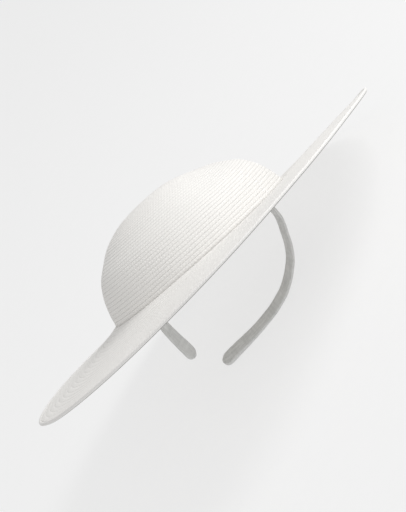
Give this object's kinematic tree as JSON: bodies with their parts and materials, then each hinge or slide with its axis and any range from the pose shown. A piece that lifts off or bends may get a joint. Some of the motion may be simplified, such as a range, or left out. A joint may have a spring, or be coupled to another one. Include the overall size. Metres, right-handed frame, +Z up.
{
  "type": "platter hat",
  "caption": "Wide-brimmed straw platter hat with a domed crown, fixed on a curved satin headband with padded ends.",
  "frame": {"origin": "centre of the bounding box, at the table", "axes": "+Z up from the table on which the hat lies, +X along the longest extent, towards the right of the picture, +Y to the back of the hat as the picture shows it"},
  "size_m": [0.376, 0.3656, 0.1469],
  "materials": {
    "crown_straw": "sewn straw braid, matt",
    "brim_straw": "sewn straw braid, matt",
    "edge_braid": "braid over a wire, matt",
    "headband_satin": "satin, soft sheen"
  },
  "bodies": {
    "root": {"crown": "crown_straw", "brim": "brim_straw", "brim_edge": "edge_braid", "headband": "headband_satin"}
  },
  "joints": []
}
